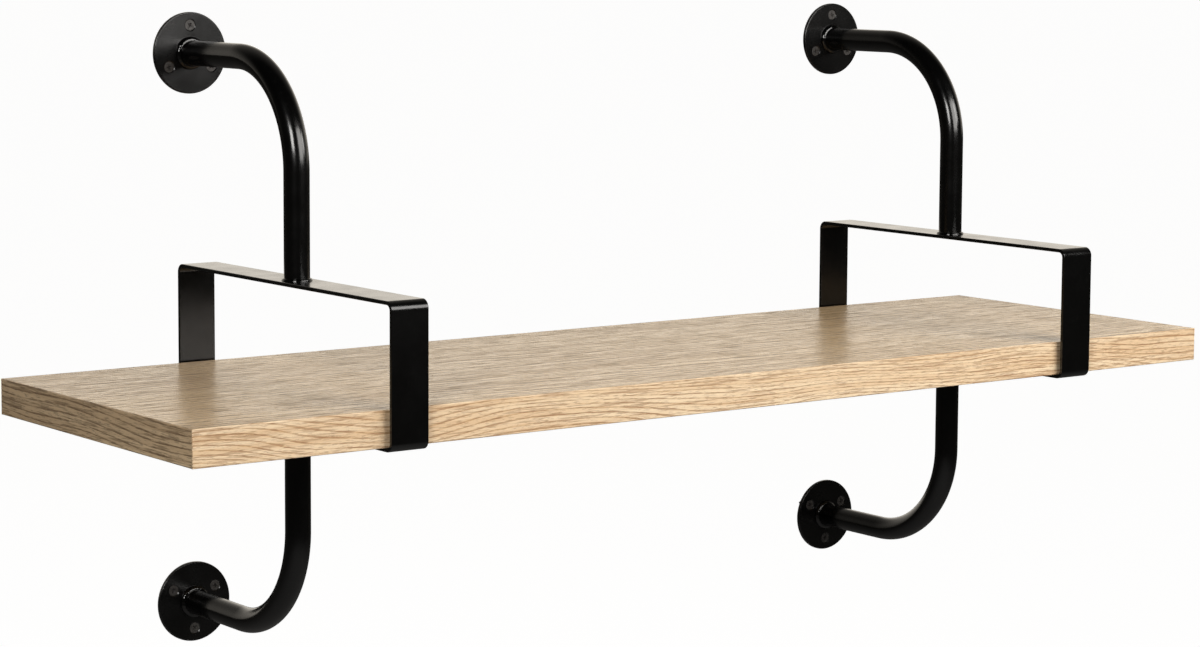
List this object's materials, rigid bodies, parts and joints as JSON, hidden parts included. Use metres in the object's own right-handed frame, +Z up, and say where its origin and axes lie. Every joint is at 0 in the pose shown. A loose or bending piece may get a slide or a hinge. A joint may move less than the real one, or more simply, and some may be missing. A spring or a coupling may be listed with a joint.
{
  "type": "wall shelf with brackets",
  "caption": "Oak-veneered wall shelf board held in flat steel strap loops between bent tube arms with round screw-on wall flanges.",
  "frame": {"origin": "in the wall plane, midway between the four wall flanges", "axes": "+X along the board to its right end, +Y into the wall, +Z up"},
  "size_m": [1, 0.336, 0.509],
  "materials": {
    "oak_veneer": "satin lacquered oak",
    "oak_edge": "satin lacquered oak edge band",
    "chipboard": "raw chipboard core",
    "black_steel": "satin black powder coat",
    "weld": "glossy black powder coat over a weld bead",
    "screw_black": "black phosphated screw"
  },
  "bodies": {
    "root": {"board_core": "chipboard", "board_top_veneer": "oak_veneer", "board_bottom_veneer": "oak_veneer", "board_front_edge": "oak_edge", "board_back_edge": "oak_edge", "board_left_edge": "oak_edge", "board_right_edge": "oak_edge", "left_strap_loop": "black_steel", "right_strap_loop": "black_steel", "left_upper_tube": "black_steel", "left_lower_tube": "black_steel", "right_upper_tube": "black_steel", "right_lower_tube": "black_steel", "left_upper_flange": "black_steel", "left_lower_flange": "black_steel", "right_upper_flange": "black_steel", "right_lower_flange": "black_steel", "left_upper_flange_weld": "weld", "left_lower_flange_weld": "weld", "right_upper_flange_weld": "weld", "right_lower_flange_weld": "weld", "left_upper_strap_weld": "weld", "left_lower_strap_weld": "weld", "right_upper_strap_weld": "weld", "right_lower_strap_weld": "weld", "left_upper_wall_screws": "screw_black", "left_lower_wall_screws": "screw_black", "right_upper_wall_screws": "screw_black", "right_lower_wall_screws": "screw_black", "left_board_screws": "screw_black", "right_board_screws": "screw_black"}
  },
  "joints": []
}
